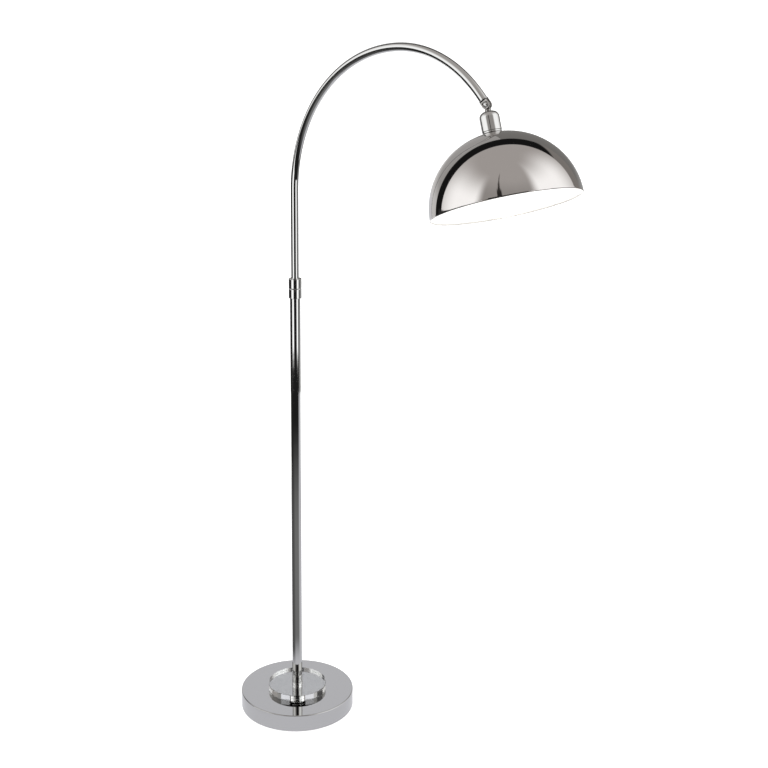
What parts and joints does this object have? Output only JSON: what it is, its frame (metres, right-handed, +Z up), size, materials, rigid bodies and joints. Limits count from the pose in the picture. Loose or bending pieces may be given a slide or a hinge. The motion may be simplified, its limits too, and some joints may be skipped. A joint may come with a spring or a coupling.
{
  "type": "arc floor lamp",
  "caption": "Floor lamp with a weighted round base, clear disc, telescoping pole, bent arm, tilting knuckle and dome shade, polished outside and white inside.",
  "frame": {"origin": "centre of the base's underside, on the floor", "axes": "+Z up along the pole, +X the way the arm reaches, tilt axis roughly along -Y"},
  "size_m": [0.8028, 0.2801, 1.4707],
  "materials": {
    "polished_chrome": "mirror-polished chrome plate on steel",
    "shade_chrome_and_white": "mirror-polished chrome outside, gloss white enamel inside",
    "clear_acrylic": "clear polished acrylic",
    "cast_iron": "rough as-cast iron, painted black",
    "zinc_plated_steel": "bright zinc plate",
    "grey_felt": "pressed felt",
    "black_rubber": "moulded, matt",
    "white_nylon": "moulded nylon, satin",
    "brass": "bare, satin",
    "black_phenolic": "moulded phenolic, satin",
    "lamp_cap_aluminium": "rolled thread, bright",
    "frosted_glass": "inside-frosted",
    "clear_flex": "extruded PVC"
  },
  "bodies": {
    "base": {"foot_pad": "grey_felt", "base_plate": "zinc_plated_steel", "plate_screws": "zinc_plated_steel", "base_weight": "cast_iron", "base_shell": "polished_chrome", "cord_bushing": "black_rubber", "tie_pipe": "zinc_plated_steel", "tie_washer": "zinc_plated_steel", "tie_nut": "zinc_plated_steel", "acrylic_disc": "clear_acrylic", "lower_tube": "polished_chrome", "foot_plug": "zinc_plated_steel", "collar_body": "polished_chrome", "clamp_sleeve": "white_nylon"},
    "collar": {"collar_ring": "polished_chrome"},
    "guide": {"guide_bush": "white_nylon"},
    "arm": {"arm_tube": "polished_chrome", "guide_clips": "zinc_plated_steel", "end_plug": "polished_chrome", "arm_wire": "clear_flex"},
    "head": {"knuckle_fork": "polished_chrome", "stem_clip": "zinc_plated_steel", "knuckle_screw": "polished_chrome", "knuckle_nut": "polished_chrome", "friction_washers": "white_nylon"},
    "shade": {"knuckle_tongue": "polished_chrome", "cup_nipple": "zinc_plated_steel", "cup_nut": "zinc_plated_steel", "socket_cup": "polished_chrome", "cup_ring": "polished_chrome", "lamp_holder": "black_phenolic", "screw_shell": "brass", "centre_contact": "brass", "shade": "shade_chrome_and_white", "shade_nut": "black_phenolic", "bulb_contact": "brass", "bulb_cap": "lamp_cap_aluminium", "bulb_glass": "frosted_glass"}
  },
  "joints": [
    {"name": "collar_turn", "type": "hinge", "parent": "base", "child": "collar", "pos_m": [0, 0, 0.973], "axis": [0, 0, 1], "range_deg": [0, 180]},
    {"name": "arm_slide", "type": "slide", "parent": "base", "child": "guide", "axis": [0, 0, 1], "range_m": [-0.17, 0.25]},
    {"name": "arm_swivel", "type": "hinge", "parent": "guide", "child": "arm", "pos_m": [0, 0, 0.973], "axis": [0, 0, 1], "range_deg": [-180, 180]},
    {"name": "head_swivel", "type": "hinge", "parent": "arm", "child": "head", "pos_m": [0.48262, 0, 1.37474], "axis": [0.7022, 0, -0.712], "range_deg": [-150, 150]},
    {"name": "shade_tilt", "type": "hinge", "parent": "head", "child": "shade", "pos_m": [0.48262, 0, 1.37474], "axis": [0.1879, -0.9646, 0.1853], "range_deg": [-50, 95]}
  ]
}
